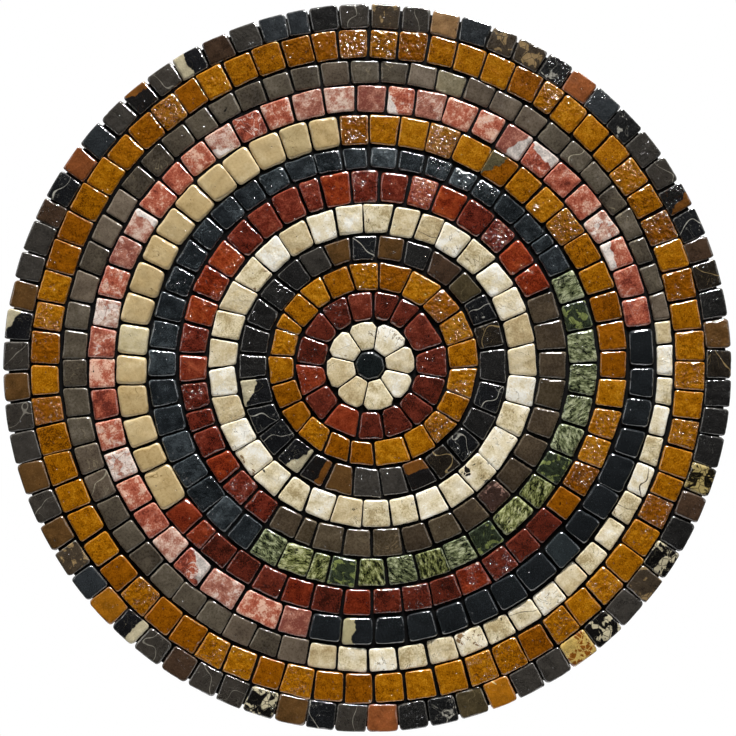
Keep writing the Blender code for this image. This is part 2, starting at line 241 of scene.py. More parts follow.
LOOKS = {
    "slate_stone": dict(
        PLAIN, tones=[(10, 14, 15), (18, 23, 24), (28, 33, 34)], rim=((84, 92, 94), 0.35),
        joint=0.1, soft=1.4, loose=0.0, variety=0.1),
    "cream_stone": dict(
        PLAIN, tones=[(172, 152, 110), (219, 204, 166), (236, 224, 196), (250, 246, 234)],
        odd=([(164, 140, 98), (203, 184, 143), (226, 212, 180)], 0.3), patch=7.0, grit=1.0,
        contrast=1.4, variety=0.9, vein=((116, 98, 62), 0.014, 0.7), pits=(0.16, 0.4),
        rim=((246, 241, 226), 0.45), joint=0.22, soft=1.0, relief=0.18, roughness=0.32, coat=0.4),
    "dark_red_stone": dict(
        PLAIN, tones=[(44, 17, 11), (82, 32, 21), (102, 42, 29), (134, 66, 46)],
        odd=([(72, 20, 10), (120, 44, 22), (152, 68, 38)], 0.25), grit=0.8, fine=0.55, contrast=1.2,
        variety=0.8, vein=((50, 14, 10), 0.02, 0.2), pits=(0.35, 0.6), rim=((160, 88, 64), 0.3),
        joint=0.25, soft=1.2, relief=0.45, roughness=0.20, coat=0.9),
    "ochre_stone": dict(
        PLAIN, tones=[(88, 48, 2), (144, 86, 4), (162, 102, 8), (188, 128, 26)],
        odd=([(84, 44, 2), (132, 74, 4), (152, 90, 8)], 0.33), patch=4.0, grit=0.8, fine=0.65,
        contrast=1.6, variety=0.7, pits=(0.42, 0.6), rim=((214, 162, 76), 0.4),
        joint=0.2, soft=1.0, relief=0.55, roughness=0.18, coat=0.9),
    "red_stone": dict(
        PLAIN, tones=[(44, 14, 9), (92, 33, 21), (116, 47, 33), (148, 76, 54)],
        odd=([(70, 18, 8), (132, 48, 22), (168, 80, 38)], 0.35), patch=5.0, grit=0.8, fine=0.55,
        contrast=1.3, variety=0.8, pits=(0.55, 0.9), rim=((168, 94, 68), 0.28),
        joint=0.32, soft=1.35, worn=2, relief=0.65, roughness=0.17, coat=1.0),
    "olive_stone": dict(
        PLAIN, tones=[(44, 36, 26), (66, 56, 41), (78, 67, 51), (98, 87, 69)],
        odd=([(48, 40, 31), (67, 56, 43), (90, 77, 60)], 0.3), patch=9.0, grit=1.3, contrast=0.9,
        vein=((116, 100, 76), 0.008, 0.4), rim=((136, 124, 102), 0.4), relief=0.16),
    "blue_black_stone": dict(
        PLAIN, tones=[(14, 17, 19), (30, 34, 37), (42, 47, 50), (66, 72, 76)],
        odd=([(22, 26, 29), (50, 56, 59), (92, 100, 104)], 0.25), grit=0.8, contrast=1.2,
        vein=((92, 100, 104), 0.014, 0.45), pits=(0.3, 0.4), rim=((112, 122, 126), 0.28),
        soft=1.3, worn=2, dome=0.3, relief=0.40, roughness=0.20, coat=0.9),
    "green_stone": dict(
        PLAIN, tones=[(18, 23, 17), (82, 88, 58), (132, 138, 100), (180, 184, 148)],
        odd=([(24, 27, 14), (94, 98, 52), (144, 147, 94), (194, 194, 148)], 0.4), patch=4.0, grit=1.3,
        contrast=2.0, variety=0.8, vein=((12, 16, 12), 0.08, 1.1), pits=(0.12, 0.3), streak=2.2,
        rim=((176, 188, 156), 0.25), relief=0.20, roughness=0.22),
    "beige_stone": dict(
        PLAIN, tones=[(152, 126, 80), (186, 160, 112), (200, 176, 130), (216, 198, 158)],
        odd=([(176, 158, 112), (206, 190, 148), (224, 212, 180)], 0.2), patch=9.0, grit=1.4,
        contrast=0.8, vein=((128, 104, 60), 0.008, 0.4), rim=((236, 222, 186), 0.35),
        joint=0.22, soft=1.4, worn=4, dome=0.3, swell=(0.01, 0.07), roughness=0.30, coat=0.5),
    "pink_stone": dict(
        PLAIN, swell=(0.0, 0.07), tones=[(104, 46, 36), (156, 76, 56), (184, 104, 80), (226, 182, 158)],
        odd=([(128, 70, 58), (174, 116, 97), (222, 196, 178)], 0.3), patch=5.0, grit=1.0,
        contrast=1.5, variety=1.3, vein=((228, 204, 192), 0.03, 0.5), pits=(0.15, 0.3),
        rim=((232, 186, 172), 0.35), relief=0.20, roughness=0.23, coat=0.8),
    "black_stone": dict(
        PLAIN, tones=[(17, 20, 22), (28, 31, 33), (38, 42, 45)],
        odd=([(28, 33, 35), (45, 51, 53), (64, 71, 73)], 0.1), patch=8.0, contrast=0.6, variety=0.4,
        rim=((88, 98, 102), 0.2), joint=0.22, soft=1.3, worn=4, dome=0.35, roughness=0.20, coat=0.9),
    "grey_brown_stone": dict(
        PLAIN, tones=[(50, 44, 36), (72, 64, 53), (86, 78, 65), (108, 99, 86)],
        odd=([(74, 63, 52), (100, 88, 74), (122, 109, 94)], 0.28), patch=9.0, grit=1.2,
        variety=0.9, vein=((134, 122, 98), 0.008, 0.55), rim=((150, 140, 122), 0.4),
        joint=0.24, soft=1.0, roughness=0.28, coat=0.5),
    "veined_stone": dict(
        PLAIN, tones=[(24, 24, 24), (40, 39, 37), (60, 58, 54)], contrast=1.2, rim=((150, 146, 138), 0.3),
        fill=0.8, pits=(0.25, 0.4), relief=0.22, roughness=0.21, coat=0.8),
}
# Groups of pieces that are laid closer or looser than others of their kind
LAID = {
    "rosette_petal": dict(joint=0.05, soft=0.8, worn=0, loose=0.3),
    "red_ring_stone": dict(joint=0.1, soft=1.2, loose=0.6),
    RIM_COURSE: dict(joint=0.1, swell=(0.03, 0.09)),
}
# How far the lots that set a stone's tone go, where a course is darker or lighter than its kind
LOTS = {"dark_red_arc": (0.0, 0.55), "red_arc": (0.0, 0.9), "outer_ochre_ring": (0.0, 0.8)}
ANY_LOT = (0.0, 1.0)
# What each point of a stone tells the material: its place in its stone and in the noise, its stone's
# lot, how far it lies over its worn edge and down its side, which sets its paler edge, partly a
# painted highlight, and its darker sides, partly painted shade, and the marble's colours and shares
POINT_VALUES = {"local": "FLOAT_VECTOR", "grain": "FLOAT_VECTOR", "chance": "FLOAT_VECTOR", "rim": "FLOAT",
                "ground": "FLOAT_COLOR", "figure": "FLOAT_COLOR", "amounts": "FLOAT_COLOR"}
# Light and dark within a stone that has a ground colour of its own, and the mark of having none
SHADES = [(170, 170, 170), (222, 222, 222), (255, 255, 255)]
NO_GROUND = (0.0, 0.0, 0.0, 0.0)

# Marbles, and marks on stones of other kinds, whose ground is None: ground colour, figure colour,
# and how much it shows as fine veins, as one bold vein, as broken patches and on one side; last,
# how often it is laid in a mixed course
MARBLES = {
    "black": ((40, 39, 38), (118, 116, 110), (0.35, 0.0, 0.0, 0.0), 6.0),
    "dark_grey": ((68, 64, 59), (126, 121, 110), (0.3, 0.0, 0.0, 0.0), 4.5),
    "grey_line": ((66, 61, 55), (168, 162, 148), (0.5, 0.7, 0.0, 0.0), 1.0),
    "flecked": ((76, 65, 52), (158, 132, 92), (0.7, 0.0, 0.65, 0.0), 0.5),
    "white_flecked": ((36, 36, 36), (176, 172, 160), (0.9, 0.0, 0.5, 0.0), 0.3),
    "white_vein": ((30, 31, 33), (192, 188, 176), (0.4, 1.0, 0.0, 0.0), 3.0),
    "gold_vein": ((44, 38, 31), (172, 148, 104), (0.5, 0.9, 0.0, 0.0), 1.2),
    "dark_brown": ((76, 57, 43), (116, 90, 64), (0.3, 0.0, 0.0, 0.0), 3.0),
    "brown": ((106, 75, 40), (62, 38, 18), (0.5, 0.0, 0.1, 0.0), 1.5),
    "olive_brown": ((84, 73, 50), (140, 124, 88), (0.4, 0.3, 0.0, 0.0), 0.8),
    "blue_black": ((54, 58, 61), (112, 118, 120), (0.3, 0.0, 0.0, 0.0), 0.6),
    "rust": ((158, 90, 48), (196, 138, 94), (0.4, 0.0, 0.1, 0.0), 0.1),
    "tan": ((160, 122, 80), (100, 70, 42), (0.5, 0.0, 0.3, 0.0), 0.1),
    "ochre": ((178, 112, 22), (226, 200, 140), (0.4, 0.0, 0.1, 0.0), 0.1),
    "cream_breccia": ((24, 22, 21), (214, 202, 168), (0.3, 0.0, 0.9, 0.0), 0.3),
    "gold_breccia": ((36, 31, 20), (196, 174, 112), (0.4, 0.0, 1.0, 0.0), 0.1),
    "gold_patched": ((230, 194, 108), (150, 88, 28), (0.4, 0.0, 0.95, 0.0), 0.0),
    "white_wedge": ((28, 28, 30), (208, 196, 162), (0.2, 0.0, 0.0, 1.0), 0.2),
    "brown_wedge": ((30, 28, 27), (122, 76, 30), (0.4, 0.0, 0.0, 1.0), 0.4),
    "plain": (None, (0, 0, 0), (0.0, 0.0, 0.0, 0.0), 0.0),
    "white_side": (None, (252, 238, 228), (0.0, 0.0, 0.0, 1.0), 0.0),
    "white_corner": (None, (252, 238, 228), (0.0, 0.0, 0.0, 0.6), 0.0),
    "white_mottled": (None, (250, 232, 220), (0.0, 0.0, 1.0, 0.0), 0.0),
    "white_streak": (None, (196, 186, 160), (0.5, 0.9, 0.0, 0.0), 0.0),
    "dark_line": (None, (66, 54, 38), (0.4, 1.0, 0.0, 0.0), 0.0),
    "dark_pits": (None, (28, 24, 20), (0.0, 0.0, 0.6, 0.0), 0.0),
    "brown_blotch": (None, (150, 120, 84), (0.3, 0.0, 0.5, 0.0), 0.0),
    "olive_side": (None, (96, 88, 62), (0.0, 0.0, 0.0, 1.0), 0.0),
    "cream_side": (None, (200, 188, 144), (0.0, 0.0, 0.0, 1.0), 0.0),
    "pale_tan": ((150, 138, 108), (196, 186, 156), (0.3, 0.0, 0.4, 0.0), 0.0),
    "pinkish_brown": ((68, 49, 42), (168, 132, 118), (0.6, 0.0, 0.7, 0.0), 0.0),
    "dark_green": ((50, 58, 42), (132, 142, 82), (0.6, 0.0, 0.85, 0.0), 0.0),
}
MIXED_COURSES = ("inner_veined_ring", RIM_COURSE)

# Stones that stand out from the rest of their course: the clock angles of each marble or mark
ACCENTS = {
    "middle_cream_ring": {"dark_pits": (133,), "brown_blotch": (231, 306), "dark_line": (20,)},
    "olive_brown_arc": {"pinkish_brown": (135,)},
    "green_arc": {"dark_green": (75, 117, 145, 185)},
    "ochre_arc": {"olive_side": (30,)},
    "pink_arc": {
        "white_side": (34, 40, 66, 222), "white_mottled": (60, 250, 282), "white_corner": (9, 302, 325)},
    "black_arc": {"cream_side": (182,)},
    "cream_arc": {"dark_line": (113, 118, 148), "brown_blotch": (160,)},
    "grey_brown_arc": {"pale_tan": (16,), "white_streak": (45, 244)},
    "inner_veined_ring": {
        "brown": (3, 12, 188, 268, 342), "dark_brown": (35, 160), "olive_brown": (45,),
        "black": (25, 90, 108, 117, 277, 286, 295, 304, 313, 322), "dark_grey": (134, 170),
        "white_vein": (58, 81, 99, 126, 230, 243, 355), "gold_vein": (72,),
        "brown_wedge": (150, 203), "white_wedge": (215, 255)},
    "outer_veined_ring": {
        "black": (80, 95, 100, 105, 120, 174, 353),
        "dark_grey": (51, 135, 150, 155, 257, 287, 291, 315, 339),
        "blue_black": (17, 42, 232, 310, 344, 349),
        "grey_line": (8, 56, 184, 203, 208, 218, 247, 262, 271, 325, 358),
        "flecked": (2, 22, 27, 130, 237), "white_flecked": (32, 47, 169),
        "white_vein": (66, 189, 300), "gold_vein": (76, 90), "dark_brown": (71, 115, 213, 296, 334),
        "brown": (85, 193, 242, 252, 267, 282), "olive_brown": (164,), "tan": (12,),
        "rust": (37, 179, 305), "ochre": (160, 228), "gold_breccia": (110,), "gold_patched": (145,),
        "cream_breccia": (125, 140, 198), "white_wedge": (223, 277, 329), "brown_wedge": (61, 320)},
}


class Graph:
    """A short way to lay out the nodes of a material or the world. A value is a socket or a number."""

    def __init__(self, owner):
        owner.use_nodes = True
        self.owner = owner
        self.tree = owner.node_tree

    def surface(self, values):
        """Gives a material's surface its values, and gives the material back."""
        shader = self.tree.nodes["Principled BSDF"]
        for name, value in values.items():
            self.plug(value, shader.inputs[name])
        return self.owner

    def place_in_mm(self):
        """Where each point of a piece is, in mm."""
        place = self.node("ShaderNodeTexCoord", output="Object")
        return self.node("ShaderNodeVectorMath", (place, (1.0 / MM,) * 3), operation="MULTIPLY")

    def plug(self, value, socket):
        """Joins a value to a socket."""
        if isinstance(value, bpy.types.NodeSocket):
            self.tree.links.new(value, socket)
        else:
            socket.default_value = value

    def node(self, kind, values=(), output=0, **settings):
        """A node of a kind with its first inputs set; gives one of its outputs."""
        made = self.tree.nodes.new(kind)
        for key, setting in settings.items():
            setattr(made, key, setting)
        for place, value in (values.items() if isinstance(values, dict) else enumerate(values)):
            self.plug(value, made.inputs[place])
        return made.outputs[output]

    def math(self, operation, *values, clamp=False):
        return self.node("ShaderNodeMath", values, operation=operation, use_clamp=clamp)

    def parts(self, vector):
        """The three numbers of a vector."""
        return self.node("ShaderNodeSeparateXYZ", (vector,)).node.outputs

    def stretch(self, value, low, high, to_low=0.0, to_high=1.0, smooth=False):
        """The value moved from one range to another, held at its ends."""
        kind = "SMOOTHSTEP" if smooth else "LINEAR"
        return self.node("ShaderNodeMapRange", (value, low, high, to_low, to_high), interpolation_type=kind)

    def noise(self, place, size_mm, detail=2.0, roughness=0.5, distortion=0.0):
        """Cloudy noise with features of about a size."""
        values = {"Vector": place, "Scale": 1.0 / size_mm, "Detail": detail, "Roughness": roughness,
                  "Distortion": distortion}
        return self.node("ShaderNodeTexNoise", values)

    def cells(self, place, size_mm, feature="F1", output="Distance"):
        """Distance to the nearest of scattered points, or to the edge between two."""
        return self.node("ShaderNodeTexVoronoi", {"Vector": place, "Scale": 1.0 / size_mm},
                         output=output, feature=feature)

    def specks(self, place, size_mm, share, low, high):
        """Small round spots in a share of scattered places."""
        spot = self.cells(place, size_mm)
        lucky = self.parts(spot.node.outputs["Color"])[0]
        return self.math("MULTIPLY", self.stretch(spot, low, high, 1.0, 0.0, smooth=True),
                         self.math("LESS_THAN", lucky, share))

    def attribute(self, name, output="Vector"):
        return self.node("ShaderNodeAttribute", output=output, attribute_name=name)

    def mix(self, share, first, second, blend="MIX"):
        """Two colours mixed by a share."""
        made = self.tree.nodes.new("ShaderNodeMix")
        made.data_type = "RGBA"
        made.blend_type = blend
        self.plug(share, made.inputs[0])
        self.plug(first, made.inputs[6])
        self.plug(second, made.inputs[7])
        return made.outputs[2]

    def ramp(self, value, tones):
        """Colours spread evenly along a value from 0 to 1."""
        made = self.tree.nodes.new("ShaderNodeValToRGB")
        elements = made.color_ramp.elements
        while len(elements) < len(tones):
            elements.new(0.5)
        for index, tone in enumerate(tones):
            elements[index].position = index / (len(tones) - 1)
            elements[index].color = rgb(*tone)
        self.plug(value, made.inputs[0])
        return made.outputs[0]

    def ridge(self, place, size_mm, width, bend=1.0):
        """Thin crooked lines: 1 on the line, 0 away from it."""
        cloud = self.noise(place, size_mm, detail=3.0, roughness=0.55, distortion=bend)
        offset = self.math("ABSOLUTE", self.math("SUBTRACT", cloud, 0.5))
        return self.stretch(offset, 0.0, width, 1.0, 0.0, smooth=True)

    def bump(self, height, depth, normal=None):
        """A normal bumped by a height from 0 to 1 that stands for a depth in metres."""
        values = {"Strength": 1.0, "Distance": depth, "Height": height}
        if normal is not None:
            values["Normal"] = normal
        return self.node("ShaderNodeBump", values)


def stone_material(slot, look):
    """The material of one kind of stone."""
    graph = Graph(bpy.data.materials.new(slot))
    grain = graph.attribute("grain")
    chance = graph.parts(graph.attribute("chance"))
    place = grain
    if look["streak"] != 1.0:
        place = graph.node("ShaderNodeVectorMath", (grain, (1.0, look["streak"], 1.0)), operation="MULTIPLY")
    broad = graph.noise(place, look["patch"], detail=3.0)
    fine = graph.noise(place, look["grit"], detail=4.0, roughness=0.65)
    tone = mottling(graph, look, broad, fine, chance)
    colour = kind_colour(graph, look, grain, place, tone, chance)
    colour = marble_figure(graph, grain, tone, colour)
    pits = pitting(graph, look, grain, chance)
    dark = graph.mix(PIT_SHADE, colour, BLACK)
    colour = graph.mix(graph.math("MULTIPLY", pits, 0.8), colour, dark)
    skin = stone_skin(graph, look, grain, pits, chance)
    rough = look["roughness"]
    return graph.surface({
        "Base Color": pale_rim_and_dark_sides(graph, look, grain, colour),
        "Roughness": graph.stretch(fine, 0.3, 0.7, rough - 0.07, rough + 0.10),
        "Normal": skin, "Coat Normal": skin, "Coat Weight": look["coat"],
        "Coat Roughness": COAT_ROUGHNESS, "Coat IOR": COAT_IOR, "Specular IOR Level": BARE_SPECULAR})


def kind_colour(graph, look, grain, place, tone, chance):
    """The colour of a kind of stone, with its odd stones and its veins."""
    colour = graph.ramp(tone, look["tones"])
    if look["odd"]:
        tones, share = look["odd"]
        draw = graph.math("FRACT", graph.math("MULTIPLY", chance[0], 17.3))
        is_odd = graph.stretch(draw, share - 0.04, share + 0.04, 1.0, 0.0)
        colour = graph.mix(is_odd, colour, graph.ramp(tone, tones))
    if look["vein"]:
        vein_tone, width, share = look["vein"]
        line = graph.ridge(place, look["patch"] * 1.6, width)
        has_vein = graph.stretch(chance[1], 1.0 - share, 1.2 - share)
        broken = graph.stretch(graph.noise(grain, look["patch"]), 0.42, 0.6)
        line = graph.math("MULTIPLY", graph.math("MULTIPLY", line, has_vein), broken)
        colour = graph.mix(line, colour, rgb(*vein_tone))
    return colour


def stone_skin(graph, look, grain, pits, chance):
    """The unevenness of a stone's skin, and its pits."""
    uneven = graph.stretch(chance[2], *ROUGH_LOTS, *ROUGH_SHARES)
    rough_skin = graph.math("MULTIPLY", graph.noise(grain, SKIN_SIZE, detail=1.0, roughness=0.4), uneven)
    skin = graph.bump(rough_skin, 1.3 * look["relief"] * MM)
    return graph.bump(graph.math("SUBTRACT", 1.0, pits), (0.35 * look["pits"][1] + 0.05) * MM, skin)


def mottling(graph, look, broad, fine, chance):
    """Where each spot of a stone lies between its kind's dark and light tones, from 0 to 1."""
    coarse = graph.math("MULTIPLY", broad, 1.0 - look["fine"])
    tone = graph.math("MULTIPLY_ADD", fine, look["fine"], coarse)
    tone = graph.math("MULTIPLY_ADD", graph.math("SUBTRACT", tone, 0.5), TONE_SPREAD * look["contrast"], 0.5)
    lot = graph.math("MULTIPLY", graph.math("SUBTRACT", chance[0], 0.5), LOT_SPREAD * look["variety"])
    return graph.math("ADD", tone, lot, clamp=True)


def one_side(graph, grain, amount):
    """One side of a stone, behind a slightly crooked line: more of it for a larger amount."""
    across = graph.parts(graph.attribute("local"))[0]
    crooked = graph.math("SUBTRACT", graph.noise(grain, SIDE_SIZE, detail=3.0), 0.5)
    across = graph.math("MULTIPLY_ADD", crooked, CROOKEDNESS, across)
    border = graph.math("MULTIPLY_ADD", amount, -SIDE_REACH, SIDE_BORDER)
    side = graph.stretch(graph.math("SUBTRACT", across, border), 0.0, 0.5)
    return graph.math("MULTIPLY", side, graph.math("GREATER_THAN", amount, 0.05))


def pitting(graph, look, grain, chance):
    """Small holes in some places of some stones: 1 in a hole."""
    share = look["pits"][0]
    cloud = graph.math("ADD", graph.noise(grain, PITTED_SIZE), graph.math("MULTIPLY", chance[2], 0.5))
    pitted = graph.stretch(cloud, 1.05 - 0.5 * share, 1.25 - 0.5 * share)
    hole = graph.stretch(graph.cells(grain, PIT_SIZE), 0.06, 0.34, 1.0, 0.0, smooth=True)
    small_hole = graph.stretch(graph.cells(grain, SMALL_PIT_SIZE), 0.06, 0.36, 0.6, 0.0, smooth=True)
    everywhere = graph.specks(grain, SPECK_SIZE, 0.30 * share, 0.10, 0.24)
    return graph.math("MAXIMUM", graph.math("MULTIPLY", graph.math("MAXIMUM", hole, small_hole), pitted),
                      everywhere)


def pale_rim_and_dark_sides(graph, look, grain, colour):
    """The paler worn edge of a stone, partly a painted highlight along its rounded shoulder, and the
    mortar's stain down its sides, partly painted shade in the joints.
    """
    tone, share = look["rim"]
    # The paler edge: partly wear, partly a painted highlight where the rounded edge would catch the light
    worn = graph.stretch(graph.attribute("rim", "Fac"), 0.15, 0.45)
    worn = graph.math("MULTIPLY", worn, graph.stretch(graph.noise(grain, WORN_SIZE, detail=4.0), 0.35, 0.62))
    low = graph.stretch(graph.attribute("rim", "Fac"), 0.62, 0.85, 1.0, 0.0)
    worn = graph.math("MULTIPLY", graph.math("MULTIPLY", worn, low), share)
    colour = graph.mix(worn, colour, rgb(*tone))
    # The darker sides below the shoulder: partly mortar stain, partly painted shade in the joints between
    # stones
    side_stain_and_shade = graph.stretch(graph.attribute("rim", "Fac"), 1.0, 1.6)
    return graph.mix(side_stain_and_shade, colour, rgb(*MORTAR_STAIN_AND_SHADE))


def marble_figure(graph, grain, tone, colour):
    """A stone's own ground, and its own veins, patches and sides, over the colour of its kind."""
    ground = graph.attribute("ground", "Color")
    figure = graph.attribute("figure", "Color")
    amounts = graph.parts(graph.attribute("amounts", "Color"))
    shaded = graph.mix(1.0, ground, graph.ramp(tone, SHADES), blend="MULTIPLY")
    colour = graph.mix(graph.attribute("ground", "Alpha"), colour, shaded)
    veins = graph.math("MAXIMUM", fine_veins(graph, grain, amounts[0]), bold_vein(graph, grain, amounts[1]))
    patches = broken_patches(graph, grain, amounts[2])
    side = one_side(graph, grain, graph.attribute("amounts", "Alpha"))
    shown = graph.math("MAXIMUM", veins, graph.math("MAXIMUM", patches, side))
    figure = graph.mix(1.0, figure, graph.ramp(tone, SHADES), blend="MULTIPLY")
    return graph.mix(shown, colour, figure)


def fine_veins(graph, grain, amount):
    """Thin crooked veins that come and go."""
    broken = graph.stretch(graph.noise(grain, 4.0), 0.38, 0.60)
    line = graph.ridge(grain, FINE_VEIN_SIZE, 0.006)
    return graph.math("MULTIPLY", graph.math("MULTIPLY", line, broken), amount)


def bold_vein(graph, grain, amount):
    """One vein across the stone, which sways and changes its width."""
    along = graph.parts(graph.attribute("local"))[1]
    sway = graph.math("SUBTRACT", graph.noise(grain, SWAY_SIZE, detail=0.0), 0.5)
    offset = graph.math("ABSOLUTE", graph.math("MULTIPLY_ADD", sway, SWAY, along))
    width = graph.stretch(graph.noise(grain, 5.0), 0.35, 0.65, 0.15, 0.5)
    line = graph.math("SUBTRACT", 1.0, graph.math("DIVIDE", offset, width), clamp=True)
    return graph.math("MULTIPLY", graph.stretch(line, 0.0, 0.6), amount)


def broken_patches(graph, grain, amount):
    """Patches with cracks between them: more of them for a larger amount."""
    patch = graph.noise(grain, PATCH_SIZE, detail=3.0, distortion=0.8)
    edge = graph.math("SUBTRACT", 0.74, graph.math("MULTIPLY", amount, 0.26))
    patch = graph.stretch(graph.math("SUBTRACT", patch, edge), 0.0, 0.03)
    crack = graph.stretch(graph.cells(grain, CRACK_SIZE, "DISTANCE_TO_EDGE"), 0.01, 0.05)
    return graph.math("MULTIPLY", patch, crack)


def mortar_material():
    """Dark cement mortar, sandy and matt."""
    graph = Graph(bpy.data.materials.new("black_mortar"))
    place = graph.place_in_mm()
    sand = graph.noise(place, 0.7, detail=5.0, roughness=0.7)
    cloud = graph.noise(place, 14.0, detail=3.0)
    tone = graph.math("ADD", graph.math("MULTIPLY", sand, 0.5), graph.math("MULTIPLY", cloud, 0.5))
    return graph.surface({
        "Base Color": graph.ramp(graph.stretch(tone, 0.3, 0.7), MORTAR_TONES),
        "Roughness": graph.stretch(sand, 0.3, 0.7, 0.86, 0.98),
        "Normal": graph.bump(sand, 0.3 * MM), "Specular IOR Level": 0.1})


def board_material():
    """Grey cement board with the weave of its glass mesh showing through the skin."""
    graph = Graph(bpy.data.materials.new("cement_board"))
    place = graph.place_in_mm()
    axes = graph.parts(place)
    threads = []
    for axis in (axes[0], axes[2]):
        turns = graph.math("MULTIPLY", axis, FULL_TURN / (MESH_PITCH / MM))
        threads.append(graph.stretch(graph.math("COSINE", turns), 0.80, 1.0, 0.0, 1.0, smooth=True))
    weave = graph.math("MAXIMUM", *threads)
    cloud = graph.noise(place, 40.0, detail=4.0)
    sand = graph.noise(place, 1.0, detail=5.0, roughness=0.7)
    tone = graph.math("ADD", graph.math("MULTIPLY", cloud, 0.6), graph.math("MULTIPLY", sand, 0.4))
    colour = graph.ramp(graph.stretch(tone, 0.3, 0.7), BOARD_TONES)
    return graph.surface({
        "Base Color": graph.mix(graph.math("MULTIPLY", weave, 0.25), colour, rgb(*MESH_TONE)),
        "Roughness": graph.stretch(sand, 0.3, 0.7, 0.82, 0.97),
        "Normal": graph.bump(weave, 0.2 * MM, graph.bump(sand, 0.25 * MM))})


def stone_fronts(node):
    """The flat fronts of a node's stones, each as its corners in order round it and its depth."""
    mesh = node.data
    mesh.calc_loop_triangles()
    points = np.array([vertex.co[:] for vertex in mesh.vertices])
    triangles = np.array([triangle.vertices[:] for triangle in mesh.loop_triangles])
    _, same = np.unique(np.round(points / SAME_POINT).astype(int), axis=0, return_inverse=True)
    same = same.reshape(-1)
    first, second, third = (points[triangles[:, corner]] for corner in range(3))
    normals = np.cross(second - first, third - first)
    normals /= np.linalg.norm(normals, axis=1)[:, None]
    fronts = [triangle for triangle, normal in zip(triangles, normals) if normal[1] < -FRONT_NORMAL]
    group_of = {}
    groups = []
    for triangle in fronts:
        keys = {int(same[corner]) for corner in triangle}
        met = {id(group_of[key]): group_of[key] for key in keys if key in group_of}
        merged = {}
        for group in met.values():
            merged.update(group)
            groups = [other for other in groups if other is not group]
        merged.update({int(same[corner]): points[corner] for corner in triangle})
        groups.append(merged)
        group_of.update({key: merged for key in merged})
    stones = []
    for group in groups:
        corners = np.array(list(group.values()))
        middle = corners.mean(axis=0)
        order = np.argsort(np.arctan2(corners[:, 2] - middle[2], corners[:, 0] - middle[0]))
        stones.append((corners[order][:, [0, 2]], middle[1]))
    return sorted(stones, key=lambda stone: clock_of(stone[0].mean(axis=0)))


def clock_of(point):
    """The clock angle of a point on the face."""
    return math.degrees(math.atan2(point[0], point[1])) % 360.0


def grown(corners, distance, fill):
    """A convex outline with each side moved outward, and its short corner sides a fill further."""
    ahead = np.roll(corners, -1, axis=0) - corners
    lengths = np.linalg.norm(ahead, axis=1)
    normals = np.stack([ahead[:, 1], -ahead[:, 0]], axis=1) / lengths[:, None]
    behind = np.roll(normals, 1, axis=0)
    moves = distance + np.where(lengths < CORNER_SIDE * lengths.mean(), fill, 0.0)
    moves_behind = np.roll(moves, 1)
    bend = (normals * behind).sum(axis=1)
    sharp = bend < NEARLY_STRAIGHT
    share = np.where(sharp, 1.0 - bend ** 2, 1.0)
    along_ahead = np.where(sharp, (moves - moves_behind * bend) / share, 0.5 * moves)
    along_behind = np.where(sharp, (moves_behind - moves * bend) / share, 0.5 * moves_behind)
    return corners + along_ahead[:, None] * normals + along_behind[:, None] * behind


def tumbled_outline(corners, look, chance):
    """The outline of a stone with its corners worn round, as evenly spaced points."""
    closed = np.vstack([corners, corners[:1]])
    reach = np.concatenate([[0.0], np.cumsum(np.linalg.norm(np.diff(closed, axis=0), axis=1))])
    stops = np.arange(OUTLINE_POINTS) * reach[-1] / OUTLINE_POINTS
    outline = np.stack([np.interp(stops, reach, closed[:, axis]) for axis in range(2)], axis=1)
    for _ in range(look["worn"] + chance.choice(EXTRA_WEAR)):
        outline = (np.roll(outline, 1, axis=0) + 2.0 * outline + np.roll(outline, -1, axis=0)) / 4.0
    steady, changing = WAVE_SHARES
    wave = np.clip(steady + changing * ripples(OUTLINE_WAVES, chance), 0.0, 1.5)
    nibbles = ripples(NIBBLES, chance)
    middle = outline.mean(axis=0)
    spokes = outline - middle
    lengths = np.linalg.norm(spokes, axis=1)[:, None]
    inward = MM * (look["joint"] * wave + NIBBLE_DEPTH * (nibbles + 1.0))
    outline = outline - spokes / lengths * inward[:, None]
    angle = chance.uniform(-TURN, TURN) * look["loose"]
    across, up = (outline - middle).T
    return middle + np.stack([across * math.cos(angle) - up * math.sin(angle),
                              across * math.sin(angle) + up * math.cos(angle)], axis=1)


def turns_round(count):
    """Evenly spaced angles for a count of points round a middle."""
    return np.arange(count) * FULL_TURN / count


def ripples(counts, chance):
    """Waves round an outline, one for each count."""
    turn = turns_round(OUTLINE_POINTS)
    return sum(chance.uniform(*RIPPLE_HEIGHTS) * np.cos(count * turn + chance.uniform(*PHASES))
               for count in counts)


def laid_by_hand(outline, look, chance, on_rim):
    """The outline a little off its place and size, which on the rim goes inward alone."""
    middle = outline.mean(axis=0)
    length = np.linalg.norm(middle)
    outward = middle / length if length > MM else np.array([0.0, 1.0])
    sideways = np.array([outward[1], -outward[0]])
    loose = look["loose"]
    depth = (outline - middle) @ outward * (1.0 + loose * chance.uniform(*look["swell"]))
    width = (outline - middle) @ sideways * (1.0 - loose * chance.uniform(*NARROWING))
    shift = loose * RADIAL_SHIFT * chance.uniform(-1.0, 0.0 if on_rim else 1.0)
    slide = loose * SIDEWAYS_SHIFT * chance.uniform(-1.0, 1.0)
    placed = middle + np.outer(depth + shift, outward) + np.outer(width + slide, sideways)
    reach = np.linalg.norm(placed, axis=1)
    most = min(-cad_low.x, cad_high.x, -cad_low.z, cad_high.z) - RIM_CLEARANCE
    return placed * np.minimum(1.0, most / np.maximum(reach, MM))[:, None]


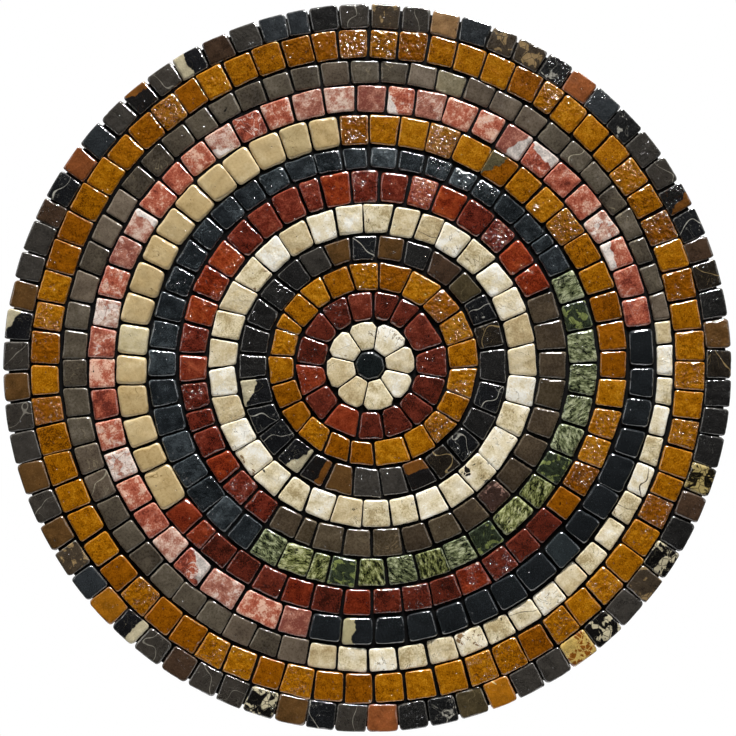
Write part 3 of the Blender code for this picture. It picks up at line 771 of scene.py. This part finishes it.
def lumps(x, z, chance, count, shortest, longest):
    """Waves across a stone's face, from 0 to about 1 either way, with lengths in mm."""
    total = np.zeros_like(x)
    for _ in range(count):
        heading = chance.uniform(0.0, FULL_TURN)
        wave = FULL_TURN / (chance.uniform(shortest, longest) * MM)
        total += np.sin(wave * (x * math.cos(heading) + z * math.sin(heading)) + chance.uniform(*PHASES))
    return total / math.sqrt(1.6 * count)


def shoulder_radii(reach, look, chance):
    """The radius of a stone's worn edge at each point round it, far wider at a chip."""
    turn = turns_round(OUTLINE_POINTS)
    uneven = 1.0 + SHOULDER_WAVES[0] * np.cos(2.0 * turn + chance.uniform(*PHASES))
    uneven += SHOULDER_WAVES[1] * np.cos(3.0 * turn + chance.uniform(*PHASES))
    if chance.random() < CHIPPED_SHARE:
        chip = (turn - chance.uniform(0.0, FULL_TURN) + math.pi) % FULL_TURN - math.pi
        uneven += CHIP_DEPTH * np.exp(-(chip / CHIP_SPREAD) ** 2)
    radius = look["soft"] * MM * chance.uniform(*SHOULDER_RANGE) * uneven
    return np.minimum(radius, WIDEST_SHOULDER * reach)


def side_rings(radius, height, side_stain_and_shade):
    """The rings up a stone's side and worn edge: how far in, how deep and how worn, all the way round; the
    two lowest carry the mark of the sides, darkened by mortar stain and painted shade.
    """
    around = np.ones(OUTLINE_POINTS)
    rings = [(FOOT_INSET * around, height * around, side_stain_and_shade),
             (0.0 * around, WAIST * height * around, side_stain_and_shade)]
    for step in range(SHOULDER_RINGS):
        angle = QUARTER_TURN * step / (SHOULDER_RINGS - 1)
        rings.append((radius * (1.0 - math.cos(angle)), radius * (1.0 - math.sin(angle)),
                      (1.0 - step / (SHOULDER_RINGS - 1)) * around))
    return rings


def skin_fall(x, z, reach, look, chance, uneven_skin):
    """How far a stone's face falls back from its highest point: domed, tilted and lumpy."""
    fall = look["dome"] * MM * (np.hypot(x, z) / reach) ** 2
    fall += x * chance.uniform(-TILT, TILT) + z * chance.uniform(-TILT, TILT)
    fall += LUMP * lumps(x, z, chance, *BROAD_LUMPS)
    fall += SKIN_LUMP_SHARE * look["relief"] * MM * uneven_skin * lumps(x, z, chance, *SKIN_LUMPS)
    return fall - fall.min()


def skin_faces(ring_count, around):
    """Faces between rings of points, and fans to two more points: inside the last ring, then the first."""
    faces = []
    for ring in range(ring_count - 1):
        for index in range(around):
            ahead = (index + 1) % around
            low, high = ring * around, (ring + 1) * around
            faces.append((low + index, low + ahead, high + ahead, high + index))
    last = (ring_count - 1) * around
    last_middle, first_middle = ring_count * around, ring_count * around + 1
    for index in range(around):
        ahead = (index + 1) % around
        faces.append((last + index, last + ahead, last_middle))
        faces.append((ahead, index, first_middle))
    return faces


def stone_points(corners, front, back, look, chance, uneven_skin, on_rim):
    """The points of one stone, and how far each lies over the worn edge."""
    growth = SOLID_SHOULDER - 0.5 * look["joint"] * MM
    outline = tumbled_outline(grown(corners, growth, look["fill"] * MM), look, chance)
    outline = laid_by_hand(outline, look, chance, on_rim)
    middle = outline.mean(axis=0)
    reach = np.linalg.norm(outline - middle, axis=1).mean()
    radius = shoulder_radii(reach, look, chance)
    height = back - front
    facing_out = np.linalg.norm(outline, axis=1) > cad_high.x - BARE_RIM
    side_stain_and_shade = np.where(facing_out & on_rim, BARE_SIDE, STAINED_AND_SHADED_SIDE)
    points = []
    wear = []
    for inset, depth, share in side_rings(radius, height, side_stain_and_shade):
        spot = middle + (outline - middle) * (1.0 - inset / reach)[:, None]
        points.append(np.stack([spot[:, 0], front + depth, spot[:, 1]], axis=1))
        wear.extend(share)
    edge = middle + (outline - middle) * (1.0 - radius / reach)[:, None]
    for share in FACE_RINGS:
        spot = middle + (edge - middle) * share
        points.append(np.stack([spot[:, 0], np.full(OUTLINE_POINTS, front), spot[:, 1]], axis=1))
        wear.extend([0.0] * OUTLINE_POINTS)
    points.append(np.array([[middle[0], front, middle[1]], [middle[0], back, middle[1]]]))
    wear.extend([0.0, 1.0])
    points = np.vstack(points)
    x, z = points[:, 0] - middle[0], points[:, 2] - middle[1]
    nearness = np.clip(1.0 - (points[:, 1] - front) / (0.5 * height), 0.0, 1.0)
    points[:, 1] += nearness * skin_fall(x, z, reach, look, chance, uneven_skin)
    return points, np.array(wear)


def marbles_of(node_name, stones, chance):
    """The marble or mark of each stone: by chance in a mixed course, then those that stand out."""
    chosen = ["plain"] * len(stones)
    if node_name in MIXED_COURSES:
        weights = [entry[3] for entry in MARBLES.values()]
        chosen = chance.choices(list(MARBLES), weights, k=len(stones))
    clocks = [clock_of(corners.mean(axis=0)) for corners, _ in stones]
    for name, places in ACCENTS.get(node_name, {}).items():
        for clock in places:
            gaps = [abs((other - clock + 180.0) % 360.0 - 180.0) for other in clocks]
            chosen[gaps.index(min(gaps))] = name
    return chosen


def look_of(node_name):
    """The look of a node's stones: that of their kind, with the changes of its own group."""
    look = dict(LOOKS[slot_of[node_name]])
    for group, changes in LAID.items():
        if node_name.startswith(group):
            look.update(changes)
    return look


def point_attribute(mesh, name, kind, values):
    """Stores a value for each point of a mesh."""
    field = {"FLOAT": "value", "FLOAT_VECTOR": "vector", "FLOAT_COLOR": "color"}[kind]
    mesh.attributes.new(name, kind, "POINT").data.foreach_set(field, np.asarray(values, np.float32).ravel())


def lay_stone(node_name, corners, front, back, marble, look, chance):
    """One stone of a node: its points, and what each of them tells the material."""
    lot = (chance.uniform(*LOTS.get(node_name, ANY_LOT)), chance.random(), chance.random())
    uneven_skin = np.interp(lot[2], ROUGH_LOTS, ROUGH_SHARES)
    on_rim = node_name == RIM_COURSE
    points, wear = stone_points(corners, front, back, look, chance, uneven_skin, on_rim)
    turn = chance.uniform(0.0, FULL_TURN)
    middle = corners.mean(axis=0)
    x, z = (points[:, 0] - middle[0]) / MM, (points[:, 2] - middle[1]) / MM
    local = np.stack([x * math.cos(turn) - z * math.sin(turn), x * math.sin(turn) + z * math.cos(turn),
                      (points[:, 1] - front) / MM], axis=1)
    grain = local + [chance.uniform(-FAR_APART, FAR_APART) for _ in range(3)]
    ground, figure, amounts, _ = MARBLES[marble]
    all_over = {"chance": lot, "ground": rgb(*ground) if ground else NO_GROUND, "figure": rgb(*figure),
                "amounts": amounts}
    values = {name: np.tile(value, (len(points), 1)) for name, value in all_over.items()}
    return points, {"local": local, "grain": grain, "rim": wear, **values}


def lay_stones(node_name, material):
    """The tumbled stones that stand for one CAD node."""
    chance = random.Random(f"{SEED} {node_name}")
    look = look_of(node_name)
    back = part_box(node_name)[1].y
    stones = stone_fronts(nodes[node_name])
    marbles = marbles_of(node_name, stones, chance)
    laid = [lay_stone(node_name, corners, front, back, marble, look, chance)
            for (corners, front), marble in zip(stones, marbles)]
    points = np.vstack([places for places, _ in laid])
    sides = skin_faces(STONE_RINGS, OUTLINE_POINTS)
    starts = range(0, len(points), len(points) // len(stones))
    faces = [tuple(corner + start for corner in side) for start in starts for side in sides]
    mesh = bpy.data.meshes.new(f"{node_name}.tumbled")
    mesh.from_pydata(points.tolist(), [], faces)
    for name, kind in POINT_VALUES.items():
        point_attribute(mesh, name, kind, np.concatenate([values[name] for _, values in laid]))
    mesh.shade_smooth()
    mesh.materials.append(material)
    place_piece(mesh, node_name)


def place_piece(mesh, node_name):
    """Puts a piece in the scene in the place of the CAD node that it stands for."""
    piece = bpy.data.objects.new(mesh.name, mesh)
    bpy.context.scene.collection.objects.link(piece)
    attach(piece, "root")
    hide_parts(node_name)


def disc_mesh(name, rings, spokes, roughness=0.0):
    """A round closed piece from rings of (radius, depth along y, share of the roughness)."""
    chance = np.random.default_rng(SEED)
    turn = turns_round(spokes)
    points = []
    for radius, depth, rough in rings:
        bumps = chance.uniform(-1.0, 1.0, spokes) * roughness * rough
        points.append(np.stack([radius * np.cos(turn), depth + bumps, radius * np.sin(turn)], axis=1))
    points.append(np.array([[0.0, rings[-1][1], 0.0], [0.0, rings[0][1], 0.0]]))
    mesh = bpy.data.meshes.new(name)
    mesh.from_pydata(np.vstack(points).tolist(), [], skin_faces(len(rings), spokes))
    mesh.shade_smooth()
    return mesh


def lay_mortar():
    """The mortar: a bed that also rises between the stones, to just under their worn edges."""
    low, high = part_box("mortar_bed")
    bed_radius = high.x
    rim_radius = cad_high.x - MORTAR_RIM_SETBACK
    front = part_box(RIM_COURSE)[0].y + MORTAR_DEPTH
    edge_depth = low.y - MORTAR_EDGE_SHARE * (low.y - front)
    rings = [(bed_radius - MORTAR_BACK_INSET, high.y, 0.0), (bed_radius, high.y, 0.0),
             (bed_radius, low.y, 0.0), (rim_radius + MORTAR_EDGE, edge_depth, 0.0), (rim_radius, front, 0.0)]
    for step in range(1, MORTAR_RINGS):
        rings.append((rim_radius * (1.0 - step / MORTAR_RINGS), front, 1.0))
    mesh = disc_mesh("mortar_bed.grouted", rings, MORTAR_SPOKES, MORTAR_ROUGHNESS)
    mesh.materials.append(mortar_material())
    place_piece(mesh, "mortar_bed")


def lay_board():
    """The backing board, with its cut edge slightly eased."""
    low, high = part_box("backing_board")
    ease = BOARD_EDGE_RADIUS
    rings = [(0.5 * high.x, high.y, 0.0), (high.x - ease, high.y, 0.0)]
    for step in range(1, BOARD_EDGE_STEPS + 1):
        angle = QUARTER_TURN * step / BOARD_EDGE_STEPS
        rings.append((high.x - ease + ease * math.sin(angle), high.y - ease + ease * math.cos(angle), 0.0))
    rings += [(high.x, low.y, 0.0), (0.5 * high.x, low.y, 0.0)]
    mesh = disc_mesh("backing_board.plain", rings, BOARD_SPOKES)
    mesh.materials.append(board_material())
    place_piece(mesh, "backing_board")


def make_floor():
    """A plain pale floor below the panel."""
    level = cad_low.z - FLOOR_DROP
    half = FLOOR_SIZE / 2
    rear = FLOOR_FRONT + FLOOR_SIZE
    outline = [(-half, FLOOR_FRONT), (half, FLOOR_FRONT), (half, rear), (-half, rear)]
    mesh = bpy.data.meshes.new("floor")
    mesh.from_pydata([(x, y, level) for x, y in outline], [], [(0, 1, 2, 3)])
    graph = Graph(bpy.data.materials.new("floor"))
    mesh.materials.append(graph.surface({"Base Color": FLOOR_TONE, "Roughness": FLOOR_ROUGHNESS}))
    floor = bpy.data.objects.new("floor", mesh)
    bpy.context.scene.collection.objects.link(floor)


def make_world():
    """A white surround that lights the panel softly, and less from around the camera and from below."""
    world = bpy.data.worlds.new("surround")
    bpy.context.scene.world = world
    graph = Graph(world)
    heading = graph.parts(graph.node("ShaderNodeTexCoord", output="Generated"))
    towards = graph.math("MULTIPLY", heading[1], -1.0)
    strength = graph.stretch(towards, *DARK_CONE, FILL_LIGHT, FILL_LIGHT * DARK_SHARE)
    from_above = graph.stretch(heading[2], *LOW_TO_HIGH, LOW_SHARE, 1.0)
    fill = graph.node("ShaderNodeBackground", (WHITE, graph.math("MULTIPLY", strength, from_above)))
    seen = graph.node("ShaderNodeBackground", (WHITE, 1.0))
    is_seen = graph.node("ShaderNodeLightPath", output="Is Camera Ray")
    surround = graph.node("ShaderNodeMixShader", (is_seen, fill, seen))
    graph.plug(surround, graph.tree.nodes["World Output"].inputs["Surface"])


def aim(thing, target):
    """Turns a light or the camera towards a point."""
    thing.rotation_mode = "QUATERNION"
    thing.rotation_quaternion = (Vector(target) - thing.location).to_track_quat("-Z", "Y")


def make_lights():
    """Softboxes above, beside and behind the panel, and a small lamp for the highlights."""
    for name, (place, size, watts) in LAMPS.items():
        lamp = bpy.data.lights.new(name, "AREA")
        lamp.shape = "RECTANGLE"
        lamp.size, lamp.size_y = size
        lamp.energy = watts
        softbox = bpy.data.objects.new(name, lamp)
        softbox.location = place
        softbox.visible_diffuse = name != GLINTS_ONLY
        bpy.context.scene.collection.objects.link(softbox)
        aim(softbox, (0.0, 0.0, 0.0))


def make_camera():
    """A camera square to the face, which fills the frame as in the photograph."""
    data = bpy.data.cameras.new("camera")
    data.lens = LENS_MM
    data.sensor_width = SENSOR_MM
    camera = bpy.data.objects.new("camera", data)
    width = cad_high.x - cad_low.x
    view_width = width * PHOTO_WIDTH / PANEL_WIDTH_IN_PHOTO
    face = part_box(RIM_COURSE)[0].y
    middle = (cad_low + cad_high) / 2
    pixel = view_width / PHOTO_WIDTH
    x = middle.x + (PHOTO_WIDTH / 2 - PANEL_MIDDLE_IN_PHOTO[0]) * pixel
    z = middle.z - (PHOTO_WIDTH / 2 - PANEL_MIDDLE_IN_PHOTO[1]) * pixel
    camera.location = (x, face - view_width * LENS_MM / SENSOR_MM, z)
    bpy.context.scene.collection.objects.link(camera)
    aim(camera, (x, face, z))
    bpy.context.scene.camera = camera


def dress_panel():
    """Every piece of the panel, each with its material."""
    materials = {slot: stone_material(slot, look) for slot, look in LOOKS.items()}
    for name in sorted(nodes):
        if slot_of[name] in materials:
            lay_stones(name, materials[slot_of[name]])
    lay_mortar()
    lay_board()


dress_panel()
make_floor()
make_world()
make_lights()
make_camera()
bpy.context.scene.view_settings.view_transform = "Standard"
